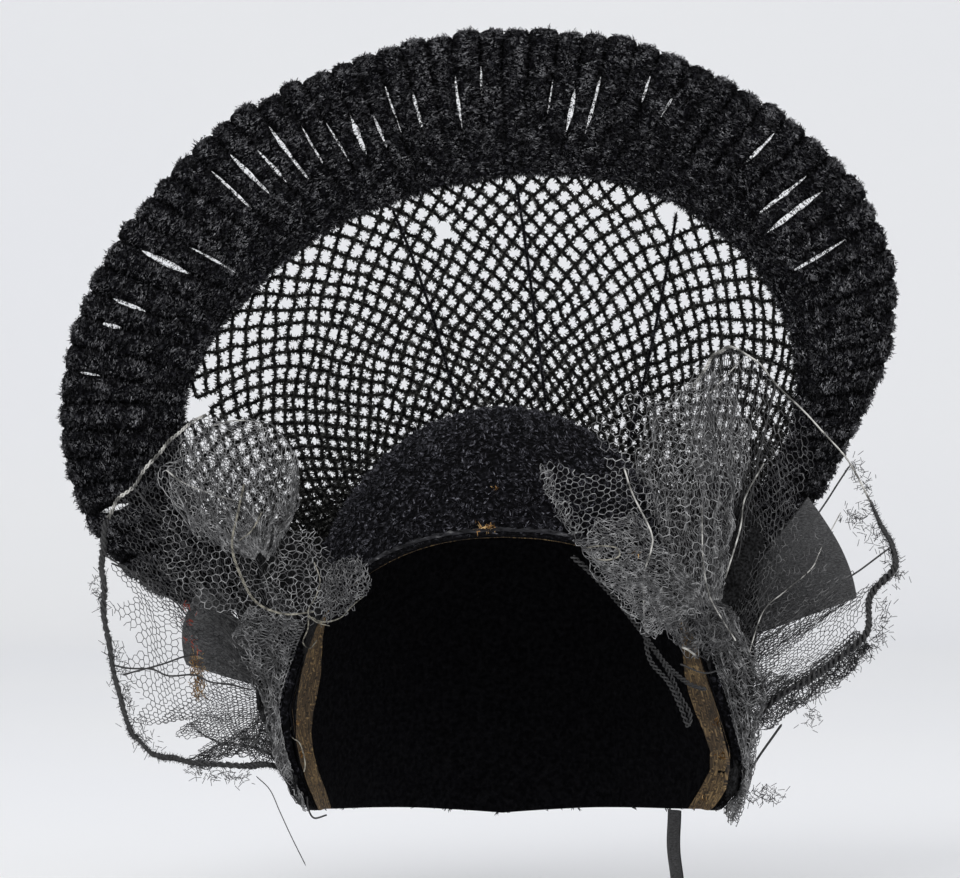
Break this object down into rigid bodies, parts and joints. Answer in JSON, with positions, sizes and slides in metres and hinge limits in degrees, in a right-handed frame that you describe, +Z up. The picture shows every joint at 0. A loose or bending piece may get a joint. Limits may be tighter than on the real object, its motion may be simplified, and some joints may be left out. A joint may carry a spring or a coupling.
{
  "type": "folk costume wheel bonnet",
  "caption": "Black chenille wheel bonnet with a net fan, thick corded rim, wire-edged tulle wings, gathered rosettes and crepe ribbons, held up as on a head.",
  "frame": {"origin": "where the crown of the head touches the inside of the cap, midway between the ears", "axes": "+Z up, away from the head; -Y towards the wearer's face, +Y towards the nape; +X to the right as seen from in front"},
  "size_m": [0.3541, 0.1962, 0.3742],
  "materials": {
    "chenille": "deep matt pile",
    "chenille_rim": "deep matt pile",
    "chenille_net": "matt pile",
    "straw": "woven straw, satin",
    "tulle": "open hexagonal net",
    "crepe": "crinkled, semi-sheer",
    "wire": "thread-wrapped wire"
  },
  "bodies": {
    "root": {"cap_lining": "straw", "cap_cover": "chenille", "wheel_net": "chenille_net", "wheel_rim": "chenille_rim", "net_rib_left": "wire", "net_rib_middle": "wire", "net_rib_right": "wire", "wing_wire_left": "wire", "wing_wire_right": "wire", "wing_tulle_left": "tulle", "wing_tulle_right": "tulle", "rosette_left": "tulle", "rosette_right": "tulle", "ruffle_left": "tulle", "ruffle_right": "tulle", "ribbon_loop_left": "crepe", "ribbon_loop_right": "crepe", "ribbon_tail": "crepe"}
  },
  "joints": []
}
